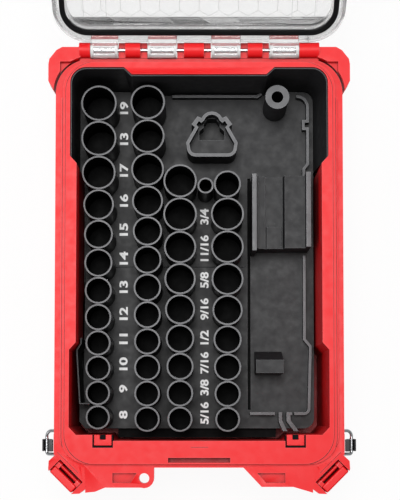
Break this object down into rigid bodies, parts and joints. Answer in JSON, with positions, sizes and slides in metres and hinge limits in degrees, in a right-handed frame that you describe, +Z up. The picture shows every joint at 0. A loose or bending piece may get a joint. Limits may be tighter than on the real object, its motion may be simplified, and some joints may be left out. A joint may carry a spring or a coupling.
{
  "type": "socket organizer drawer box",
  "caption": "Shallow tool box with a clear hinged lid, wire bail latches, corner flaps and a lift-out tray of graded socket cups, a ratchet nest and a cradle.",
  "frame": {"origin": "on the flat underside, midway between the sides", "axes": "+Z up, +Y from the front lip to the hinge, +X to the right seen from the front"},
  "size_m": [0.26, 0.63, 0.3371],
  "materials": {
    "red_plastic": "moulded, satin",
    "steel": "bright zinc plate",
    "clear_plastic": "clear moulded polycarbonate",
    "gasket_rubber": "matt",
    "black_plastic": "fine moulded texture",
    "latch_plastic": "satin"
  },
  "bodies": {
    "box": {"base_shell": "red_plastic", "corner_block_right": "red_plastic", "corner_block_left": "red_plastic", "bail_lug_right": "red_plastic", "bail_lug_left": "red_plastic", "hinge_pin": "steel", "tray_clip_left": "red_plastic", "tray_clip_right": "red_plastic", "corner_lever_pin_right": "red_plastic", "corner_lever_pin_left": "red_plastic"},
    "lid": {"lid_shell": "clear_plastic", "lid_gasket": "gasket_rubber"},
    "tray": {"tray_deck": "black_plastic", "metric_cups_left": "black_plastic", "metric_cups_right": "black_plastic", "inch_cups_left": "black_plastic", "inch_cups_right": "black_plastic", "adapter_cup": "black_plastic", "extension_post": "black_plastic", "ratchet_head_holder": "black_plastic", "ratchet_cradle": "black_plastic", "wedge_rest": "black_plastic", "channel_ribs": "black_plastic"},
    "bail_right": {"latch_bail_right": "steel"},
    "bail_left": {"latch_bail_left": "steel"},
    "latch_right": {"latch_lever_right": "latch_plastic"},
    "latch_left": {"latch_lever_left": "latch_plastic"},
    "corner_flap_right": {"corner_lever_right": "red_plastic"},
    "corner_flap_left": {"corner_lever_left": "red_plastic"}
  },
  "joints": [
    {"name": "lid_hinge", "type": "hinge", "parent": "box", "child": "lid", "pos_m": [0, 0.178, 0.098], "axis": [-1, 0, 0], "range_deg": [-138, 0]},
    {"name": "tray_lift", "type": "slide", "parent": "box", "child": "tray", "axis": [0, 0, 1], "range_m": [0, 0.11]},
    {"name": "bail_swing_right", "type": "hinge", "parent": "box", "child": "bail_right", "pos_m": [0.1164, -0.1433, 0.08], "axis": [0, -1, 0], "range_deg": [0, 60]},
    {"name": "bail_swing_left", "type": "hinge", "parent": "box", "child": "bail_left", "pos_m": [-0.1164, -0.1433, 0.08], "axis": [0, 1, 0], "range_deg": [0, 60]},
    {"name": "latch_turn_right", "type": "hinge", "parent": "bail_right", "child": "latch_right", "pos_m": [0.1263, -0.1433, 0.074], "axis": [0, 1, 0], "range_deg": [0, 60]},
    {"name": "latch_turn_left", "type": "hinge", "parent": "bail_left", "child": "latch_left", "pos_m": [-0.1263, -0.1433, 0.074], "axis": [0, -1, 0], "range_deg": [0, 60]},
    {"name": "corner_flap_swing_right", "type": "hinge", "parent": "box", "child": "corner_flap_right", "pos_m": [0.1057, -0.1682, 0.091], "axis": [-0.7071, -0.7071, 0], "range_deg": [0, 75]},
    {"name": "corner_flap_swing_left", "type": "hinge", "parent": "box", "child": "corner_flap_left", "pos_m": [-0.1057, -0.1682, 0.091], "axis": [-0.7071, 0.7071, 0], "range_deg": [0, 75]}
  ],
  "couplings": [
    {"joint": "latch_turn_right", "follows": "bail_swing_right", "ratio": 1},
    {"joint": "latch_turn_left", "follows": "bail_swing_left", "ratio": 1}
  ]
}
